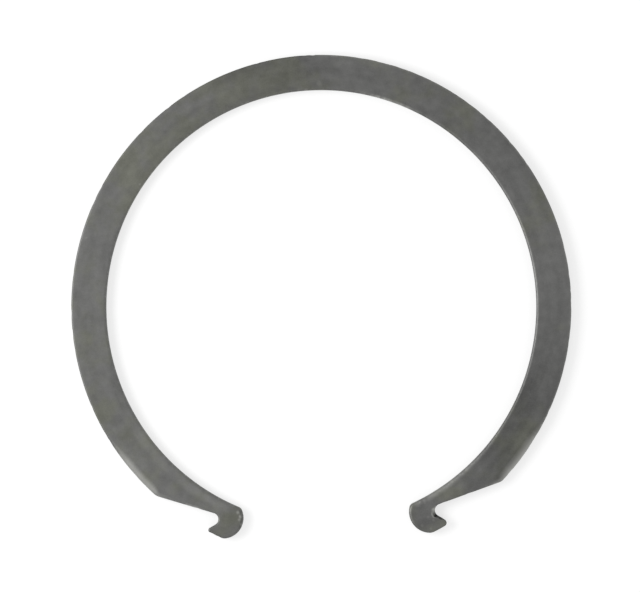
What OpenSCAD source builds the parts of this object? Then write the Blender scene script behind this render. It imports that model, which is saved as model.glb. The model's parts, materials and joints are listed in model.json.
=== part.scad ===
// Internal circlip: a flat open ring of spring steel with a hooked lug at each end.
// It is blanked from strip in one piece, hardened and tumbled. It is drawn free, as it lies on a bench:
// flat on the XY plane, its axis on Z, the middle of its mouth towards -Y. The die side, whose edge
// rolls over as the blank is cut, looks up. Bearings are angles about Z, from -Y and positive towards +X.

/* [Ring] */
// Outside diameter of the free ring
free_od = 87.5; // [80:0.5:100]
// Radial width of the band, the same all the way round
band_w = 6.1; // [5.6:0.1:6.6]
// Thickness of the strip
thickness = 2.5; // [1.5:0.1:4]

/* [Hooked lugs] */
// Bearing of each lug's centre, half the angle of the mouth
lug_bearing = 26.3; // [20:0.2:36]
// How much the radius that rounds each lug's end is more than half the band
end_extra = 0.5; // [0.35:0.05:0.75]
// Radius of the seat that takes a plier tip
notch_r = 1.1; // [0.9:0.05:1.2]
// Distance of the seat behind the lug's centre, along the band
notch_back = 2; // [1.8:0.05:2.2]
// Distance of the seat outside the middle of the band
notch_out = 0.7; // [0.5:0.05:0.9]
// Slope of the relief edge, from the band's own direction at the lug
relief_slope = 9; // [7:0.5:11]
// Angle at which the hook stands open, from the relief edge to its inner wall
hook_opening = 50; // [44:1:56]
// Radius of the hook's tip
tip_r = 0.6; // [0.5:0.05:0.8]
// Radius of the shoulder where the relief edge leaves the rim
shoulder_r = 3; // [2:0.25:5]
// Radius of the heel, where the lug's end meets the bore
heel_r = 1; // [0.8:0.1:1.4]
// Radius of the toe, where the lug's end meets the rim
toe_r = 2; // [1.4:0.1:2.4]

/* [Edges] */
// Size of the rolled edge on the die side
edge_roll = 0.4; // [0.2:0.05:0.5]
// Size of the tumbled edge on the punch side, where the burr was
edge_break = 0.2; // [0.1:0.05:0.3]

/* [Hidden] */
$fn = 180;
// Facets of the small circles that round the edges
edge_fn = 48;

outer_r = free_od / 2;
bore_r = outer_r - band_w;
mid_r = outer_r - band_w / 2;
lug_r = band_w / 2 + end_extra;
// How far a round stands proud of its neighbours, so that they cross at a slight angle and never just touch
crossing = 0.01;
// Reach of a cutter into the waste past its wall
waste = 2;
// Length of waste that the blank leaves on the end of each lug
end_waste = 0.5;
// Overlap of the end round with the toe and the heel, in degrees
end_overlap = 15;
// Centre and radius of an edge's round, in units of its size, so that it meets both faces at a slight angle
round_in = 1.15;
round_r = norm([round_in, round_in - 1]);

function dir(a) = [cos(a), sin(a)];
function at_bearing(b, r) = r * [sin(b), -cos(b)];
function angle_of(v) = atan2(v.y, v.x);
// Where a line from point p along direction d meets the circle of radius r about the ring's axis
function on_line_at_radius(p, d, r) = p + (sqrt((p * d) ^ 2 - p * p + r * r) - p * d) * d;
// The point at radius q about the ring's axis and at distance r from the lug's centre, on the mouth's side
function on_lug_at_radius(q, r) =
    at_bearing(lug_bearing - acos((mid_r * mid_r + q * q - r * r) / (2 * mid_r * q)), q);

// The right-hand lug in plan: its centre, the seat of its notch and the directions of its two straight walls
lug_at = at_bearing(lug_bearing, mid_r);
notch_at = lug_at + notch_back * dir(lug_bearing) + at_bearing(lug_bearing, notch_out);
relief_a = lug_bearing - relief_slope;
hook_a = relief_a - hook_opening;
// Distance of both straight walls from the seat's centre
wall_gap = notch_r - crossing;

// Centres of the small rounds, each a little proud of the two walls that it joins
shoulder_at = on_line_at_radius(notch_at + (wall_gap + shoulder_r - crossing) * dir(relief_a + 90),
    dir(relief_a), outer_r - shoulder_r + crossing);
tip_at = on_line_at_radius(notch_at + (wall_gap + tip_r - crossing) * dir(hook_a - 90),
    dir(hook_a), outer_r - tip_r + crossing);
heel_at = on_lug_at_radius(bore_r + heel_r - crossing, lug_r - heel_r + crossing);
toe_at = on_lug_at_radius(outer_r - toe_r + crossing, lug_r - toe_r + crossing);

// Length of the relief edge's cutter, from the notch to past the shoulder
relief_len = norm(shoulder_at - notch_at) + shoulder_r + waste;
// Bearing at which the blank's band starts, past the lug's end
band_start = lug_bearing - asin((lug_r + end_waste) / mid_r);

// What lies outside a rounded corner of size e at the origin, the steel being below and to the left
module corner_cut(e) {
    translate([-round_in * e, -round_in * e])
        difference() {
            square(2 * round_in * e);
            circle(r = round_r * e, $fn = edge_fn);
        }
}

// Section of what lies outside a wall at x = 0: its rolled upper edge, its face and its tumbled lower edge
module wall_cut(reach) {
    translate([0, -waste]) square([reach, thickness + 2 * waste]);
    translate([0, thickness]) corner_cut(edge_roll);
    mirror([0, 1]) corner_cut(edge_break);
}

// Section of the band, from its bore to its rim
module band_section() {
    difference() {
        translate([bore_r - waste / 2, 0]) square([band_w + waste, thickness]);
        translate([outer_r, 0]) wall_cut(waste);
        translate([bore_r, 0]) mirror([1, 0]) wall_cut(waste);
    }
}

// Cutter for the seat of a notch, round a point
module seat_cut(p, r) {
    translate(p) rotate_extrude()
        intersection() {
            translate([r, 0]) mirror([1, 0]) wall_cut(r + waste);
            translate([0, -waste]) square([r + waste, thickness + 2 * waste]);
        }
}

// Cutter for an outer round of radius r about a point, from angle a0 up to a1
module round_cut(p, r, a0, a1) {
    turn = (a1 - a0 + 360) % 360;
    translate(p) rotate_extrude(start = a0, angle = turn) translate([r, 0]) wall_cut(waste);
}

// Cutter for a straight wall that starts level with point p and runs along angle a.
// The steel is at distance gap from p, on the line's left, or on its right if side is 1.
module straight_cut(p, a, gap, side, len) {
    translate(p) rotate([0, 0, a]) mirror([0, side, 0]) translate([0, gap, 0])
        rotate([90, 0, 90]) linear_extrude(len) mirror([1, 0]) wall_cut(gap + waste / 2);
}

// Everything cut away from the band's end to leave the hook and the tapered neck behind it
module lug_cuts() {
    // Open space between the relief edge and the hook
    translate([0, 0, -waste]) linear_extrude(thickness + 2 * waste)
        polygon([
            notch_at,
            notch_at + relief_len * dir(hook_a),
            notch_at + 2 * relief_len * dir((hook_a + relief_a) / 2),
            notch_at + relief_len * dir(relief_a)
        ]);
    seat_cut(notch_at, notch_r);
    straight_cut(notch_at, relief_a, wall_gap, 0, relief_len);
    straight_cut(notch_at, hook_a, wall_gap, 1, relief_len / 2);
    round_cut(shoulder_at, shoulder_r, relief_a - 90, angle_of(shoulder_at));
    round_cut(tip_at, tip_r, angle_of(tip_at), hook_a + 90);
    round_cut(lug_at, lug_r, angle_of(heel_at - lug_at) - end_overlap,
        angle_of(toe_at - lug_at) + end_overlap);
    round_cut(heel_at, heel_r, angle_of(-heel_at), angle_of(heel_at - lug_at));
    round_cut(toe_at, toe_r, angle_of(toe_at - lug_at), angle_of(toe_at));
}

module retaining_ring() {
    color([0.40, 0.41, 0.39])
        difference() {
            rotate_extrude(start = band_start - 90, angle = 360 - 2 * band_start) band_section();
            for (side = [0, 1]) mirror([side, 0, 0]) lug_cuts();
        }
}

retaining_ring();
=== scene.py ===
# %% [markdown]
# The ring as one dressed mesh.
# The object is an internal circlip: a flat open ring of spring steel, cut from strip by a die, then
# hardened, tumbled and oiled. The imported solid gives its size, its place and its mounts. Everything below
# is built round that solid, in metres, and nothing of it is moved.

# %% Load the frame
import json
import math

import bpy
import numpy as np
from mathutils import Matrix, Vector, noise
from mathutils.geometry import delaunay_2d_cdt


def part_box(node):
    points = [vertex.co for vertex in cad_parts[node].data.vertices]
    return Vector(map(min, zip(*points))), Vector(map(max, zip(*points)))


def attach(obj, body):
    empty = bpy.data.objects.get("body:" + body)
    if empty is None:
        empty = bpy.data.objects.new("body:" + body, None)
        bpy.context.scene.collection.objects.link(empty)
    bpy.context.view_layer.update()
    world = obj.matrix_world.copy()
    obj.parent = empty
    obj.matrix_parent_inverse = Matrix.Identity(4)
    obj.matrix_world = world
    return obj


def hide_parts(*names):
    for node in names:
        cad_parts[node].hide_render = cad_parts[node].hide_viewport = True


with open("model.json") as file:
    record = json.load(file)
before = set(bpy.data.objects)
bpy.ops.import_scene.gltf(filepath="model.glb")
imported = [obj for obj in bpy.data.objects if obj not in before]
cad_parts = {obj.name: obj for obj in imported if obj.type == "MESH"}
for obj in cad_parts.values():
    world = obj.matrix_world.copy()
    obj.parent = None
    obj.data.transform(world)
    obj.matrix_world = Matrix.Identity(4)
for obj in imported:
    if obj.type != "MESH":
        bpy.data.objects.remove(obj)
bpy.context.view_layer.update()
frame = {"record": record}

mm = 0.001
ring_low, ring_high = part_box("retaining_ring")
mounts = {mount["name"]: mount for mount in frame["record"]["mounts"]}
rim_r = (ring_high.x - ring_low.x) / 2
strip_t = ring_high.z - ring_low.z
print(f"rim radius {rim_r / mm:.2f} mm, strip {strip_t / mm:.2f} mm thick")

# %% [markdown]
# The camera.
# The ring was photographed from straight above, so its circles stay circles. Three readings of the picture
# fix the camera: where the ring's centre lies, how large its rim is, and how far the ring is turned. The
# lens could be of any length. A long one is used, because hardly any of the bore's wall shows.

# %% Camera over the ring
picture_w, picture_h = 640, 592
centre_px = Vector((321.35, 306.87))
rim_px = 252.1
ring_turn = math.radians(1.6)
lens, sensor_w = 300, 36

px_per_metre = rim_px / rim_r
stand_off = lens / sensor_w * picture_w / px_per_metre
across = Vector((math.cos(ring_turn), -math.sin(ring_turn)))
up = Vector((math.sin(ring_turn), math.cos(ring_turn)))
aim = ((picture_w / 2 - centre_px.x) * across + (centre_px.y - picture_h / 2) * up) / px_per_metre
camera = bpy.data.objects.new("camera", bpy.data.cameras.new("camera"))
bpy.context.scene.collection.objects.link(camera)
bpy.context.scene.camera = camera
camera.data.lens = lens
camera.data.sensor_width = sensor_w
camera.rotation_euler.z = -ring_turn
camera.location = (aim.x, aim.y, strip_t + stand_off)
print(f"camera {stand_off:.3f} m above the ring, {px_per_metre * mm:.2f} pixels to a millimetre")

# %% [markdown]
# Shader maths as plain Python.
# A finish is a sum of fields: noises, masks and tones. Written node by node it can't be read, so one small
# class wraps a socket and turns + - * into Math nodes. Every other node comes from one method, which takes
# the node's type, its settings, and what goes into its sockets.


# %% A wrapped socket
class Field:
    """A value that changes over a surface. Sums of fields and numbers add Math nodes."""

    def __init__(self, tree, socket=None):
        self.tree = tree
        self.socket = socket

    def node(self, kind, settings=None, inputs=None, output=0):
        """Adds any node: its settings first, then numbers or fields into its sockets, by name or place."""
        made = self.tree.nodes.new(kind)
        for name, value in (settings or {}).items():
            setattr(made, name, value)
        for name, value in (inputs or {}).items():
            if isinstance(value, Field):
                self.tree.links.new(value.socket, made.inputs[name])
            else:
                made.inputs[name].default_value = value
        return Field(self.tree, made.outputs[output] if made.outputs else None)

    def maths(self, operation, first, second):
        return self.node("ShaderNodeMath", {"operation": operation}, {0: first, 1: second})

    def __add__(self, other):
        return self.maths("ADD", self, other)

    def __sub__(self, other):
        return self.maths("SUBTRACT", self, other)

    def __rsub__(self, other):
        return self.maths("SUBTRACT", other, self)

    def __mul__(self, other):
        return self.maths("MULTIPLY", self, other)

    __radd__ = __add__
    __rmul__ = __mul__

    def larger(self, other):
        return self.maths("MAXIMUM", self, other)

    def eased(self, low, high):
        """Goes smoothly from 0 at low to 1 at high, or falls where low is the larger."""
        ends = {"Value": self, "From Min": low, "From Max": high}
        return self.node("ShaderNodeMapRange", {"interpolation_type": "SMOOTHSTEP"}, ends)

    def noise(self, scale, detail=2.0, roughness=0.5):
        """Soft noise from 0 to 1 at this place, with so many bumps to a unit of length."""
        knobs = {"Vector": self, "Scale": scale, "Detail": detail, "Roughness": roughness}
        return self.node("ShaderNodeTexNoise", None, knobs)

    def vector(self, operation, other=(0, 0, 0), output="Vector"):
        """This vector and another through one Vector Math node."""
        return self.node("ShaderNodeVectorMath", {"operation": operation}, {0: self, 1: other}, output)

    def scaled(self, by):
        """This vector or colour, longer or brighter by a number or a field."""
        return self.node("ShaderNodeVectorMath", {"operation": "SCALE"}, {0: self, "Scale": by})

    def blend(self, first, second):
        """Mixes two colours, with this field as the share of the second."""
        return self.node("ShaderNodeMix", {"data_type": "RGBA"}, {0: self, 6: first, 7: second}, output=2)


def fresh_tree(owner):
    """Empties the node tree of a material or a world and gives a Field to start from."""
    owner.use_nodes = True
    owner.node_tree.nodes.clear()
    return Field(owner.node_tree)


# %% [markdown]
# The studio.
# The ring lies on a pale floor in a white room, with one large soft lamp on its left. The room alone would
# light every slope alike. The lamp makes the left of the ring a little lighter than the right, and the
# rolled edges that face it a little lighter than the flat. Part of the floor's white is a glow that only
# the camera and reflections see: it lights nothing, and the ring's soft shadow stays on it. The glow grows
# a little away from the ring, where less of the lamp's light lands.


# %% Room, floor and lamp
def seen_as_background(start):
    """1 for rays that show a thing as a background: from the camera, off gloss or through glass."""
    kinds = ("Is Camera Ray", "Is Glossy Ray", "Is Transmission Ray")
    camera_ray, glossy_ray, glass_ray = (
        start.node("ShaderNodeLightPath", output=kind) for kind in kinds)
    return camera_ray.larger(glossy_ray).larger(glass_ray)


white = (1, 1, 1, 1)
room_light = 0.7
floor_paint = 0.38
floor_glow = 0.66
far_glow, far_from, far_to = 0.09, 0.1, 0.7
floor_side = 6.0

room = bpy.data.worlds.new("room")
bpy.context.scene.world = room
start = fresh_tree(room)
brightness = room_light + (1 - room_light) * seen_as_background(start)
walls = start.node("ShaderNodeBackground", None, {"Color": white, "Strength": brightness})
start.node("ShaderNodeOutputWorld", None, {"Surface": walls})

paint = bpy.data.materials.new("floor_paint")
start = fresh_tree(paint)
matt = start.node("ShaderNodeBsdfDiffuse", None, {"Color": (floor_paint,) * 3 + (1,)})
from_ring = start.node("ShaderNodeTexCoord", output="Object").vector("LENGTH", output="Value")
glow_tone = floor_glow + far_glow * from_ring.eased(far_from, far_to)
glow = start.node("ShaderNodeEmission", None, {"Color": glow_tone, "Strength": seen_as_background(start)})
painted = start.node("ShaderNodeAddShader", None, {0: matt, 1: glow})
start.node("ShaderNodeOutputMaterial", None, {"Surface": painted})

bpy.ops.mesh.primitive_plane_add(size=floor_side)
floor = bpy.context.object
floor.name = "floor"
floor.data.materials.append(paint)

lamp_at = Vector((-0.27, 0.03, 0.30))
lamp = bpy.data.objects.new("softbox", bpy.data.lights.new("softbox", "AREA"))
bpy.context.scene.collection.objects.link(lamp)
lamp.data.size = 0.22
lamp.data.energy = 0.95
lamp.location = lamp_at
lamp.rotation_euler = (-lamp_at).to_track_quat("-Z", "Y").to_euler()
bpy.context.scene.view_settings.view_transform = "Standard"
print(f"lamp {lamp_at.length:.2f} m from the ring's centre")

# %% [markdown]
# The outline in plan.
# A die cuts the whole outline in one stroke, and every stretch of it is an arc or a straight line that runs
# smoothly into the next. It could be traced as a list of points, but then no radius could be changed. Here
# each stretch is worked out from the same few sizes as the solid, and sampled finely: a point, the
# direction that faces out of the steel there, and the state of the edge.

# %% Sizes of the band and its lugs
band_w = 6.1 * mm
bore_r = rim_r - band_w
mid_r = rim_r - band_w / 2
notch_r = mounts["plier_notch_right"]["dims"]["r_mm"] * mm
step = 0.25 * mm
most_turn = 6.0
print(f"band {band_w / mm:.1f} mm wide, notches {2 * notch_r / mm:.1f} mm across")


# %% Directions and meeting points
def heading(angle):
    """The unit vector, or one for each of several angles, in degrees from +X."""
    turn = np.radians(angle)
    return np.stack([np.cos(turn), np.sin(turn)], axis=-1)


def angle_of(v):
    return math.degrees(math.atan2(v[1], v[0]))


def at_bearing(bearing, radius):
    """A point at a bearing from the middle of the mouth, positive to the right."""
    return radius * heading(bearing - 90)


def on_line_at_radius(point, along, radius):
    """Where a line from a point meets a circle about the ring's axis."""
    near = point @ along
    return point + (math.sqrt(near * near - point @ point + radius * radius) - near) * along


# %% [markdown]
# Two lugs that are not quite alike.
# One die shapes both lugs, but a hook is thin, and cutting and hardening set it a little to one side. The
# photo shows it: the left notch lies further out, so its hook is shorter, the hook's tip is sharper, and the
# shoulder is softer. So each lug has its own few sizes, and its outline stays within 0.7 mm of the solid's.
# Both are laid out as right-hand lugs, and the left one is mirrored later.


# %% Centres of a lug's arcs
class Lug:
    """One hooked lug, from sizes in millimetres and degrees."""

    def __init__(self, bearing, end_r, end_out, heel_r, toe_r,
                 notch_back, notch_out, relief_slope, hook_opening, shoulder_r, tip_r):
        self.end_r, self.heel_r, self.toe_r = end_r * mm, heel_r * mm, toe_r * mm
        self.shoulder_r, self.tip_r = shoulder_r * mm, tip_r * mm
        self.at = at_bearing(bearing, mid_r + end_out * mm)
        self.notch_at = at_bearing(bearing, mid_r + notch_out * mm) + notch_back * mm * heading(bearing)
        self.relief = bearing - relief_slope
        self.hook = self.relief - hook_opening
        self.shoulder_at = on_line_at_radius(
            self.notch_at + (notch_r + self.shoulder_r) * heading(self.relief + 90),
            heading(self.relief), rim_r - self.shoulder_r)
        self.tip_at = on_line_at_radius(
            self.notch_at + (notch_r + self.tip_r) * heading(self.hook - 90),
            heading(self.hook), rim_r - self.tip_r)
        self.heel_at = self.near_mouth(bearing, bore_r + self.heel_r, self.end_r - self.heel_r)
        self.toe_at = self.near_mouth(bearing, rim_r - self.toe_r, self.end_r - self.toe_r)

    def near_mouth(self, bearing, from_axis, from_centre):
        """The point on the mouth's side so far from the ring's axis and so far from the lug's centre."""
        out = np.linalg.norm(self.at)
        share = (out ** 2 + from_axis ** 2 - from_centre ** 2) / (2 * out * from_axis)
        return at_bearing(bearing - math.degrees(math.acos(share)), from_axis)


right_lug = Lug(
    bearing=26.5, end_r=3.65, end_out=-0.38, heel_r=1.0, toe_r=1.9,
    notch_back=1.88, notch_out=0.3, relief_slope=8.3, hook_opening=50.5, shoulder_r=1.5, tip_r=0.65)
left_lug = Lug(
    bearing=26.7, end_r=3.55, end_out=-0.2, heel_r=1.0, toe_r=1.4,
    notch_back=1.68, notch_out=0.8, relief_slope=8.7, hook_opening=47, shoulder_r=2.5, tip_r=0.4)
print(f"plier notches {(right_lug.notch_at[0] + left_lug.notch_at[0]) / mm:.1f} mm apart")


# %% Stretches of the outline
def sampled(length, sweep, edges):
    """Shares of the way along a stretch, one to a step, without its last point, and the edge at each."""
    count = max(2, math.ceil(length / step), math.ceil(abs(sweep) / most_turn))
    share = np.linspace(0, 1, count, endpoint=False)
    return share, edges[0] + share[:, None] * (edges[-1] - edges[0])


def round_run(centre, radius, begin, end, *edges, hollow=False):
    """An arc: clockwise round steel, or the other way round where it is hollow."""
    sweep = (end - begin) % 360 if hollow else -((begin - end) % 360)
    share, edge_here = sampled(abs(math.radians(sweep)) * radius, sweep, edges)
    spoke = heading(begin + sweep * share)
    return centre + radius * spoke, -spoke if hollow else spoke, edge_here


def straight_run(begin, end, facing, *edges):
    share, edge_here = sampled(np.linalg.norm(end - begin), 0, edges)
    return begin + share[:, None] * (end - begin), np.tile(facing, (len(share), 1)), edge_here


# %% [markdown]
# The state of the edge.
# A die drags the skin of the strip down before it cuts, so the edge on its side is a soft roll. The roll is
# widest where a corner stands out of the blank and where the band is narrow: in the photo it shows as a
# light strip beside both shoulders, which widens towards them, and along the right neck. Three numbers
# tell an edge's state: the width of its roll, how much lighter colour it takes, partly as bare rubbed metal
# and partly as a painted highlight, and how much painted shadow darkens it. A stretch takes them at its two
# ends. The two reaches and the widening are angles round the ring, in degrees, and the corner's roll fades
# over a share of the relief edge.


# %% Edges of the ring
def edge(width, bare_and_highlight=0.0, painted_shadow_share=0.0):
    """The state of an edge: its roll's width in millimetres, then its shares of bare metal and painted
    highlight and of painted shadow, from 0 up.
    """
    return np.array([width * mm, bare_and_highlight, painted_shadow_share])


# The second number lightens an edge, partly as bare rubbed metal and partly as a painted highlight.
right_rim_edge, left_rim_edge = edge(0.45, bare_and_highlight=0.55), edge(0.26)
right_bore_edge, left_bore_edge = edge(0.50, bare_and_highlight=0.22), edge(0.50, bare_and_highlight=0.40)
right_neck_edge, left_neck_edge = edge(1.35, bare_and_highlight=0.80), edge(0.60, bare_and_highlight=0.35)
shoulder_edge, corner_edge, relief_edge = edge(1.40, bare_and_highlight=1.02), edge(0.80, bare_and_highlight=0.8), edge(0.32, bare_and_highlight=0.3)
notch_edge, hook_edge = edge(0.30), edge(0.24)
toe_edge, heel_edge = edge(0.45, bare_and_highlight=0.1), edge(0.55, bare_and_highlight=0.35)
shoulder_reach, widening, neck_reach = 13.5, 3.5, 34.0
fading = 0.35
print(f"rolled edge {left_rim_edge[0] / mm:.2f} mm wide on the left rim, "
      f"{shoulder_edge[0] / mm:.2f} mm at a shoulder")


def half_outline(lug, rim_edge, neck_edge, bore_edge):
    """Stretches from the top of the rim, clockwise round the right-hand lug, to the top of the bore."""
    axis = np.zeros(2)
    relief, hook, notch_at = lug.relief, lug.hook, lug.notch_at
    shoulder, toe, heel = angle_of(lug.shoulder_at), angle_of(lug.toe_at), angle_of(lug.heel_at)
    toe_turn, heel_turn = angle_of(lug.toe_at - lug.at), angle_of(lug.heel_at - lug.at)
    relief_from = lug.shoulder_at + lug.shoulder_r * heading(relief - 90)
    relief_to = notch_at + notch_r * heading(relief + 90)
    faded = relief_from + fading * (relief_to - relief_from)
    narrow_to = shoulder + shoulder_reach + widening
    wide_from = shoulder + shoulder_reach - widening
    top = 90
    return [
        round_run(axis, rim_r, top, narrow_to, rim_edge),
        round_run(axis, rim_r, narrow_to, wide_from, rim_edge, shoulder_edge),
        round_run(axis, rim_r, wide_from, shoulder, shoulder_edge),
        round_run(lug.shoulder_at, lug.shoulder_r, shoulder, relief - 90, corner_edge),
        straight_run(relief_from, faded, heading(relief - 90), corner_edge, relief_edge),
        straight_run(faded, relief_to, heading(relief - 90), relief_edge),
        round_run(notch_at, notch_r, relief + 90, hook - 90, notch_edge, hollow=True),
        straight_run(notch_at + notch_r * heading(hook - 90), lug.tip_at + lug.tip_r * heading(hook + 90),
                     heading(hook + 90), hook_edge),
        round_run(lug.tip_at, lug.tip_r, hook + 90, angle_of(lug.tip_at), hook_edge),
        round_run(axis, rim_r, angle_of(lug.tip_at), toe, hook_edge, toe_edge),
        round_run(lug.toe_at, lug.toe_r, toe, toe_turn, toe_edge),
        round_run(lug.at, lug.end_r, toe_turn, heel_turn, toe_edge, heel_edge),
        round_run(lug.heel_at, lug.heel_r, heel_turn, heel - 180, heel_edge),
        round_run(axis, bore_r, heel, heel + neck_reach, neck_edge, bore_edge, hollow=True),
        round_run(axis, bore_r, heel + neck_reach, top, bore_edge, hollow=True),
    ]


# %% [markdown]
# Both halves, and a free ring's slight oval.
# The left half is the right half's recipe with the other lug's sizes, mirrored. A circlip is only truly round
# when it is squeezed into its groove. Lying free it springs a little out of round, and the photo shows it
# narrower across than it is from mouth to back. One factor on x does this, so every arc stays smooth.


# %% The whole outline
def joined(runs):
    """Points, facings and edges of a half, one after another."""
    return [np.concatenate([run[k] for run in runs]) for k in range(3)]


right = joined(half_outline(right_lug, right_rim_edge, right_neck_edge, right_bore_edge))
left = joined(half_outline(left_lug, left_rim_edge, left_neck_edge, left_bore_edge))
flip = np.array([-1.0, 1.0])
squeeze = np.array([0.992, 1.0])
plan = np.concatenate([right[0], [[0.0, bore_r]], (left[0] * flip)[:0:-1]])
facing = np.concatenate([right[1], [[0.0, -1.0]], (left[1] * flip)[:0:-1]])
edges = np.concatenate([right[2], [left_bore_edge], left[2][:0:-1]])
plan *= squeeze
gaps = np.linalg.norm(np.roll(plan, -1, axis=0) - plan, axis=1)
along = np.concatenate([[0], np.cumsum(gaps)[:-1]])
girth = gaps.sum()
print(f"{len(plan)} points round {girth / mm:.1f} mm of edge, {gaps.max() / mm:.3f} mm apart at most")

# %% [markdown]
# Even changes, local marks, small nicks.
# Nothing on a tumbled part changes at a line, so the edges' states are evened out over a millimetre or two.
# Then come the marks that sit in one place only, such as the specks of burr on the bore, lightened partly
# as bare metal and partly as a painted highlight, and the painted shadow in the right notch with a painted
# highlight beside it. Soft noise makes their strength ragged. Last come small nicks, where parts knocked
# together, and the one that shows at the top of the rim. They could be a bump in the finish, but an edge is
# seen against the floor, so they are pressed into the outline itself.


# %% Smooth the edges
fade_reach = 0.7 * mm


def away_from(spot):
    """Distance of every point of the outline from a spot on it, along the edge."""
    return np.abs((along - spot + girth / 2) % girth - girth / 2)


def nearest(place):
    """How far along the outline its point nearest to a place of the plan lies."""
    return along[np.argmin(np.linalg.norm(plan - place, axis=1))]


def smoothed(values, reach):
    """Averages a value along the closed outline, over about the length of reach to each side."""
    even = np.arange(0, girth, step)
    regular = np.interp(even, along, values, period=girth)
    offset = (np.arange(len(even)) * step + girth / 2) % girth - girth / 2
    bell = np.exp(-0.5 * (offset / reach) ** 2)
    spread = np.fft.irfft(np.fft.rfft(regular) * np.fft.rfft(bell / bell.sum()), len(even))
    return np.interp(along, even, spread, period=girth)


edges = np.stack([smoothed(column, fade_reach) for column in edges.T], axis=1)
print(f"edges evened over {fade_reach / mm:.1f} mm to each side")


# %% Mark single places
def wander(points, per_mm, seed):
    """Soft noise from -1 to 1 at points of the plan."""
    return np.array([noise.noise(Vector((x / mm * per_mm, y / mm * per_mm, seed))) for x, y in points])


marks = {
    # Lighter specks of burr on the bore: partly bare metal, partly a painted highlight.
    "burr at the top right of the bore": (at_bearing(159.5, bore_r), 5.0, edge(0.0, bare_and_highlight=0.6)),
    "dimmer stretch beside the right heel": (at_bearing(26.1, bore_r), 1.0, edge(-0.2, bare_and_highlight=-0.25)),
    # A painted highlight on the rolled edge of the right notch's seat.
    "painted highlight in the right notch": (
        right_lug.notch_at + notch_r * heading(182), 0.8, edge(0.36, bare_and_highlight=1.4)),
    # Painted shadow where the notch's wall would lie in shade.
    "painted shadow in the right notch": (
        right_lug.notch_at + notch_r * heading(232), 1.0, edge(0.30, bare_and_highlight=0.5, painted_shadow_share=0.8)),
    "left relief edge at the neck": (
        left_lug.notch_at * flip + (-3.0 * mm, 2.0 * mm), 1.8, edge(0.1, bare_and_highlight=0.5)),
    # Light specks on the end of the left lug, with painted shadow along its edge outside them.
    "specks on the end of the left lug": (
        (left_lug.at + left_lug.end_r * heading(184)) * flip, 2.0, edge(0.2, bare_and_highlight=0.3, painted_shadow_share=0.35)),
}
raggedness, ragged_per_mm = 1.3, 1.9
ragged = 1 + raggedness * wander(plan, ragged_per_mm, 20.0)
for place, reach, change in marks.values():
    share = np.exp(-(away_from(nearest(place)) / (reach * mm)) ** 4) * ragged
    edges += share[:, None] * change
roll, bare_and_highlight, painted_shadow_share = edges.T
print("marks:", ", ".join(marks))
print(f"roll {roll.min() / mm:.2f} to {roll.max() / mm:.2f} mm wide, rubbed bare up to {bare_and_highlight.max():.2f}")

# %% Press in the nicks
chance = np.random.default_rng(11)
nick_count = 110
top_depth, top_half_width = 0.14 * mm, 0.2 * mm
nick = np.zeros(len(plan))
for spot in chance.uniform(0, girth, nick_count):
    depth, half_width = chance.uniform(0.01, 0.07) * mm, chance.uniform(0.2, 0.6) * mm
    nick += depth * np.exp(-(away_from(spot) / half_width) ** 2)
top_nick = nearest(at_bearing(180.2, rim_r))
nick += top_depth * np.exp(-(away_from(top_nick) / top_half_width) ** 2)
print(f"{nick_count + 1} nicks, up to {nick.max() / mm:.3f} mm deep")

# %% [markdown]
# The section of the edge.
# Down the wall of a blanked part come the roll, a smooth burnished belt where the die sheared the steel, and
# a rough torn belt where it broke through. The last edge had a burr, which tumbling has rounded off. Each
# row of the mesh is the outline moved in and down by its place in that section.

# %% Rows from the upper face to the lower
least_drop, drop_share = 0.12 * mm, 0.30
burnished_to, slow_wave, quick_wave = 0.42, 0.05, 0.03
torn_in, torn_rough = 0.05 * mm, 0.012 * mm
break_r = 0.2 * mm
wear_on_wall = 0.3
roll_rows, smooth_rows, torn_rows, break_rows = 9, 4, 5, 4

waves = slow_wave * wander(plan, 0.25, 1.0) + quick_wave * wander(plan, 1.2, 2.0)
torn_line = strip_t * (burnished_to + waves)
drop = least_drop + drop_share * roll
rows = []


def add_row(inset, height, wear, torn):
    """One row of the edge: how far in and how high it lies, its share of the wear, and how torn it is."""
    level = np.ones(len(plan))
    rows.append((inset * level, height * level, wear * level, torn * level))


for k in range(roll_rows + 1):
    turn = math.pi / 2 * k / roll_rows
    add_row(roll * (1 - math.sin(turn)) + nick * math.sin(turn),
            strip_t - drop * (1 - math.cos(turn)), math.sin(turn), 0)
for k in range(1, smooth_rows + 1):
    share = k / smooth_rows
    add_row(nick * (1 - share) ** 2, strip_t - drop + share * (torn_line - strip_t + drop),
            1 + share * (wear_on_wall - 1), 0)
for k in range(1, torn_rows + 1):
    share = k / torn_rows
    rough = torn_rough * (1 + wander(plan, 2.5, 3.0 + k)) * (1 - share)
    add_row(torn_in * (0.4 + 0.6 * share) + rough, torn_line + share * (break_r - torn_line),
            wear_on_wall, 1)
for k in range(1, break_rows + 1):
    turn = math.pi / 2 * k / break_rows
    add_row(torn_in + break_r * (1 - math.cos(turn)), break_r * (1 - math.sin(turn)),
            wear_on_wall * math.cos(turn), 0.5)
inset, height, wear, torn = (np.stack([row[k] for row in rows], axis=1) for k in range(4))
print(f"{len(rows)} rows down the edge, torn below {torn_line.mean() / mm:.2f} mm")

# %% [markdown]
# Both faces.
# The outline can't be filled by one big polygon, because long thin triangles shade badly and can't follow
# the slight unevenness of the strip. So staggered points are laid over the band, ring by ring, and a
# Delaunay triangulation ties them to the edge. It gives even triangles all over.

# %% Fill a face
fill_step = 0.55 * mm
clear_of_loop = 0.8 * fill_step


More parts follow.
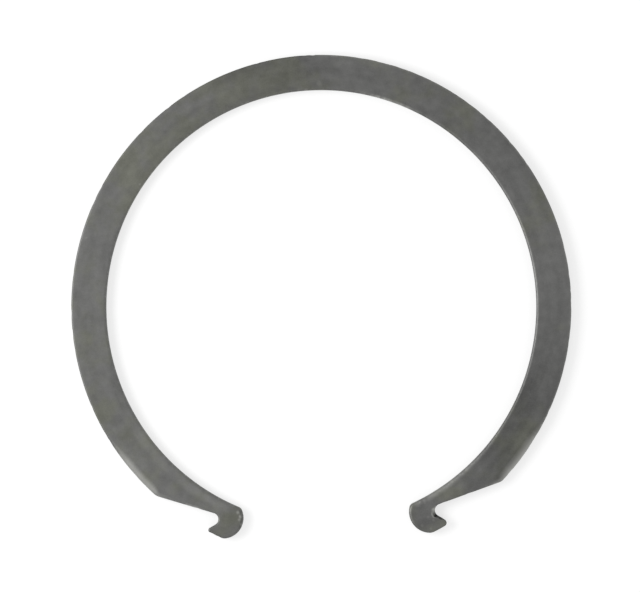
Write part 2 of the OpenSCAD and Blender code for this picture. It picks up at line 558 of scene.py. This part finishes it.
def loose_points(loop):
    """Points over the band, a step apart, that keep clear of the loop."""
    radii = np.arange(bore_r - band_w / 4, rim_r, fill_step)
    found = []
    for k, radius in enumerate(radii):
        count = int(2 * math.pi * radius / fill_step)
        found.append(radius * heading((np.arange(count) + 0.5 * (k % 2)) * 360 / count))
    points = np.concatenate(found)
    batches = 64
    to_loop = np.concatenate([
        np.min(np.linalg.norm(part[:, None] - loop[None, ::2], axis=2), axis=1)
        for part in np.array_split(points, batches)])
    return points[to_loop > clear_of_loop]


def filled(loop):
    """Points inside a loop, and triangles over it that count the loop's points first and then these."""
    extra = loose_points(loop)
    everything = [Vector(p) for p in np.concatenate([loop, extra])]
    sides = [(k, (k + 1) % len(loop)) for k in range(len(loop))]
    inside_only, no_closer = 1, 1e-9
    _, _, found, origins, _, _ = delaunay_2d_cdt(everything, sides, [], inside_only, no_closer)
    triangles = np.array([origin[0] for origin in origins])[np.array(found)]
    inside = np.unique(triangles[triangles >= len(loop)])
    number = np.arange(len(everything))
    number[inside] = len(loop) + np.arange(len(inside))
    return extra[inside - len(loop)], number[triangles]


upper_inside, upper_faces = filled(plan - facing * inset[:, :1])
lower_inside, lower_faces = filled(plan - facing * inset[:, -1:])
print(f"{len(upper_faces)} triangles on the upper face, {len(lower_faces)} on the lower")

# %% [markdown]
# One closed mesh.
# The rows of the edge and the triangles of both faces share their points, so the ring is closed with no
# seam. Four numbers go with every point: its share of the wear, how much bare metal and painted highlight
# and how much painted shadow the edge takes there, and how rough it is torn. The finish reads them, so wear
# and the painted light and shadow follow the shape and not a picture of it.

# %% Join the edge and the faces
points_round, row_count = inset.shape
wall = np.concatenate([plan[:, None] - facing[:, None] * inset[:, :, None], height[:, :, None]], axis=2)
corner = np.arange(wall.shape[0] * wall.shape[1]).reshape(points_round, row_count)
onward = np.roll(corner, -1, axis=0)
quads = np.stack([corner[:, :-1], onward[:, :-1], onward[:, 1:], corner[:, 1:]], axis=-1).reshape(-1, 4)
upper_first = corner.size
lower_first = upper_first + len(upper_inside)
upper_index = np.concatenate([corner[:, 0], upper_first + np.arange(len(upper_inside))])
lower_index = np.concatenate([corner[:, -1], lower_first + np.arange(len(lower_inside))])
faces = [*quads.tolist(), *upper_index[upper_faces].tolist(), *lower_index[lower_faces[:, ::-1]].tolist()]
points = np.concatenate([
    wall.reshape(-1, 3),
    np.insert(upper_inside, 2, strip_t, axis=1),
    np.insert(lower_inside, 2, 0.0, axis=1)])
print(f"{len(quads)} four-sided faces down the edge, {row_count} rows of {points_round} points")

# %% Uneven strip
strip_wave = 0.006 * mm
wave = strip_wave * (1 + wander(points[:, :2], 0.16, 8.0)) / 2
points[:, 2] += wave * (1 - 2 * points[:, 2] / strip_t)
mesh = bpy.data.meshes.new("ring_of_spring_steel")
mesh.from_pydata(points.tolist(), [], faces)
mesh.polygons.foreach_set("use_smooth", np.ones(len(faces), bool))
ring = bpy.data.objects.new("ring_of_spring_steel", mesh)
bpy.context.scene.collection.objects.link(ring)
edge_of_corner = np.empty(len(mesh.loops), np.int32)
mesh.loops.foreach_get("edge_index", edge_of_corner)
open_edges = np.count_nonzero(np.bincount(edge_of_corner, minlength=len(mesh.edges)) != 2)
print(f"{len(points)} points and {len(faces)} faces, {open_edges} edges without two faces")


# %% Marks for the finish
def mark(name, along_wall):
    """A number for every point of the mesh, given for the edge's rows, and 0 on both faces."""
    values = np.zeros(len(points))
    values[:corner.size] = np.ravel(along_wall * np.ones(corner.shape))
    mesh.attributes.new(name, "FLOAT", "POINT").data.foreach_set("value", values)


mark("wear", wear)
# The lighter share is bare metal and painted highlight; the darker share is painted shadow.
mark("bare_and_highlight", bare_and_highlight[:, None])
mark("painted_shadow_share", painted_shadow_share[:, None])
mark("torn", torn)
print(f"wear down to {wear.min():.2f} at the lower face, torn up to {torn.max():.0f}")

# %% [markdown]
# The finish.
# Hardened and tumbled spring steel is a dull dark grey, mottled where oil and heat have left an olive tint
# between patches of plain grey. Soft streaks follow the band. The tint varies slowly, the tone a little
# faster, and a fine grain lies over both. Along the edges a lighter colour is painted in, partly as bare
# rubbed metal and partly as a painted highlight, most of all at the roll's steepest: all of it where the
# share is strong, and specks of it where it is weak. A near-black paints shadow into a few edges, and the
# tone carries painted light and shade round the ring.

# %% Colours and marks
plain_grey = (0.112, 0.112, 0.1097, 1)
olive_grey = (0.113, 0.115, 0.098, 1)
# Light grey for bare rubbed metal and for painted highlight on the edges.
bare_steel_and_highlight = (0.32, 0.32, 0.305, 1)
torn_steel = (0.075, 0.075, 0.070, 1)
# Near black for painted shadow on a few edges.
painted_shadow_dark = (0.015, 0.015, 0.015, 1)

finish = bpy.data.materials.new("spring_steel")
start = fresh_tree(finish)
place = start.node("ShaderNodeTexCoord", output="Object").scaled(1 / mm)
wear_here, bare_and_highlight_here, painted_shadow_here, torn_here = (
    start.node("ShaderNodeAttribute", {"attribute_name": name}, output="Fac")
    for name in ("wear", "bare_and_highlight", "painted_shadow_share", "torn"))

# %% Streaks along the band
flat = place.vector("MULTIPLY", (1, 1, 0))
outward = flat.vector("NORMALIZE")
distance = flat.vector("LENGTH", output="Value")
scale_along, scale_across = 3.0, 0.45
depth = start.node("ShaderNodeCombineXYZ", None, {2: scale_across * distance})
stretched = outward.scaled(scale_along).vector("ADD", depth)
streaks = stretched.noise(1.0, detail=3.0)
tint = place.noise(0.16, detail=3.0, roughness=0.6)
patches = place.noise(0.55, detail=4.0, roughness=0.6)
specks = place.noise(1.6, detail=2.0)
grain = place.noise(4.0, detail=3.0, roughness=0.7)
print(f"{len(finish.node_tree.nodes)} nodes for places and noises")


# %% [markdown]
# Tones and painted light of single places.
# Noise alone makes every part of the ring alike on average. Here the lower right and the top are painted
# darker and the lower left lighter: painted shade and light on top of the lamp's own. There is more olive
# at the upper left, and a painted highlight runs along the left neck. A few soft masks, by the turn round
# the ring or by the distance from a place on it, carry these. The smallest of them are scuffs, where one
# knock has bared a spot of metal.


# %% Masks by turn and by place
def near(turn, reach):
    """1 at a turn of the ring, in degrees from +X, falling softly to 0 at a reach to each side."""
    closeness = outward.vector("DOT_PRODUCT", (*heading(turn), 0), output="Value")
    return closeness.eased(math.cos(math.radians(reach)), 1)


def patch(bearing, radius, reach):
    """1 at a bearing and radius, falling softly to 0 at a reach from there, in millimetres."""
    return flat.vector("DISTANCE", (*at_bearing(bearing, radius), 0), output="Value").eased(reach, 0)


def by_turn(*entries):
    """Adds masks up, each given by its turn, its reach and its strength."""
    return sum(strength * near(turn, reach) for turn, reach, strength in entries)


def by_place(*entries):
    """Adds masks up, each given by its bearing, its radius, its reach and its strength."""
    return sum(strength * patch(bearing, radius, reach) for bearing, radius, reach, strength in entries)


# %% Painted shade and light, lighter and darker places
# Painted shade at the lower right and the top and painted light at the lower left, on top of the lamp's own.
painted_shade_and_light_turns = by_turn(
    (-34, 28, -0.22), (11, 16, 0.07), (60, 30, -0.05), (100, 16, -0.16), (226, 24, 0.06))
right_lug_tones = by_place(
    (34, 39.0, 3.5, 0.08), (40, 38.9, 5.5, 0.08), (33, 39.6, 4.5, 0.09), (23.4, 40.0, 4.0, -0.14))
# On the left lug, the lighter places along the neck are painted light.
left_lug_tones = by_place(
    (-24.5, 39.6, 2.4, -0.10), (-28.5, 39.4, 2.4, 0.10), (-26.5, 42.2, 3.2, -0.14),
    (-33.5, 39.5, 4.0, 0.08))
# A painted highlight along the left neck, about a millimetre in from the bore.
painted_neck_highlight = distance.eased(37.8, 38.4) * distance.eased(39.8, 38.8)
neck_highlight_strength = by_turn((226, 24, 0.10), (237, 7, 0.12))
painted_light_and_shade = 1 + painted_shade_and_light_turns + right_lug_tones + left_lug_tones + painted_neck_highlight * neck_highlight_strength
print(f"{len(finish.node_tree.nodes)} nodes with the tones")

# %% Olive places
olive_turns = by_turn(
    (121, 34, 0.05), (151, 20, 0.07), (217, 10, 0.09), (-38, 9, 0.04), (-6, 30, -0.12), (88, 12, -0.04))
olive_lugs = by_place((-24.5, 39.6, 2.6, 0.16), (34, 39.0, 3.5, 0.14), (25, 41, 4.5, -0.18))
olive = tint + olive_turns + olive_lugs
print(f"{len(finish.node_tree.nodes)} nodes with the tint")

# %% Small scuffs
scuffs = (
    (-23.7, 38.5, 0.45, 0.5), (-22.7, 39.0, 0.45, 0.7), (-22.7, 39.6, 0.4, 0.4), (-21.8, 40.2, 0.4, 0.5),
    (23.1, 41.8, 0.45, 0.14), (24.7, 42.9, 0.35, 0.16), (25.3, 40.9, 0.4, 0.12), (26.1, 41.8, 0.4, 0.14),
    (178.9, 38.7, 0.8, 0.10), (-108.0, 42.5, 0.35, 0.12), (-125.6, 38.0, 0.3, 0.2))
print(f"{len(scuffs)} scuffs, up to {2 * max(scuff[2] for scuff in scuffs):.1f} mm across")

# %% Colour
patchy, streaky, grainy = 0.56, 0.52, 0.37
# The tone carries the painted light and shade with the random patches, streaks and grain.
tone = painted_light_and_shade + patchy * (patches - 0.5) + streaky * (streaks - 0.5) + grainy * (grain - 0.5)
all_grey, all_olive = 0.44, 0.70
skin = olive.eased(all_grey, all_olive).blend(plain_grey, olive_grey)
speckled = specks.eased(0.45, 0.62).larger(bare_and_highlight_here)
steepness = wear_here * (0.55 + 0.45 * wear_here)
# Lighter colour on the edges, partly bare rubbed metal and partly painted highlight, plus the scuffs.
rubbed_and_highlit = steepness * bare_and_highlight_here * speckled + by_place(*scuffs)
worn_and_highlit_skin = rubbed_and_highlit.blend(skin.scaled(tone), bare_steel_and_highlight)
cut_edge = torn_here.blend(worn_and_highlit_skin, torn_steel)
# Painted shadow darkens the edges where its share is set.
colour = (painted_shadow_here * wear_here.eased(0.2, 0.5)).blend(cut_edge, painted_shadow_dark)
print(f"bare steel {bare_steel_and_highlight[0] / plain_grey[0]:.1f} times as light as the plain grey")

# %% Gloss and grain
plain_dull, patchy_dull, torn_dull, torn_grain = 0.46, 0.16, 0.10, 1.5
dull = plain_dull + patchy_dull * (patches - 0.5) + torn_dull * torn_here
height_of_grain = grain + torn_grain * torn_here * place.noise(7.0, detail=3.0)
grain_depth = 0.004 * mm
bumps = height_of_grain.node("ShaderNodeBump", None, {"Height": height_of_grain, "Distance": grain_depth})
steel = colour.node("ShaderNodeBsdfPrincipled", None, {
    "Base Color": colour, "Metallic": 0.9, "Roughness": dull, "Normal": bumps})
start.node("ShaderNodeOutputMaterial", None, {"Surface": steel})
mesh.materials.append(finish)
print(f"{len(finish.node_tree.nodes)} nodes in the finish")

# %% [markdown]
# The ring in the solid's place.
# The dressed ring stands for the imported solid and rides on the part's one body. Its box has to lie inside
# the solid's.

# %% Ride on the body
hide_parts("retaining_ring")
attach(ring, "root")
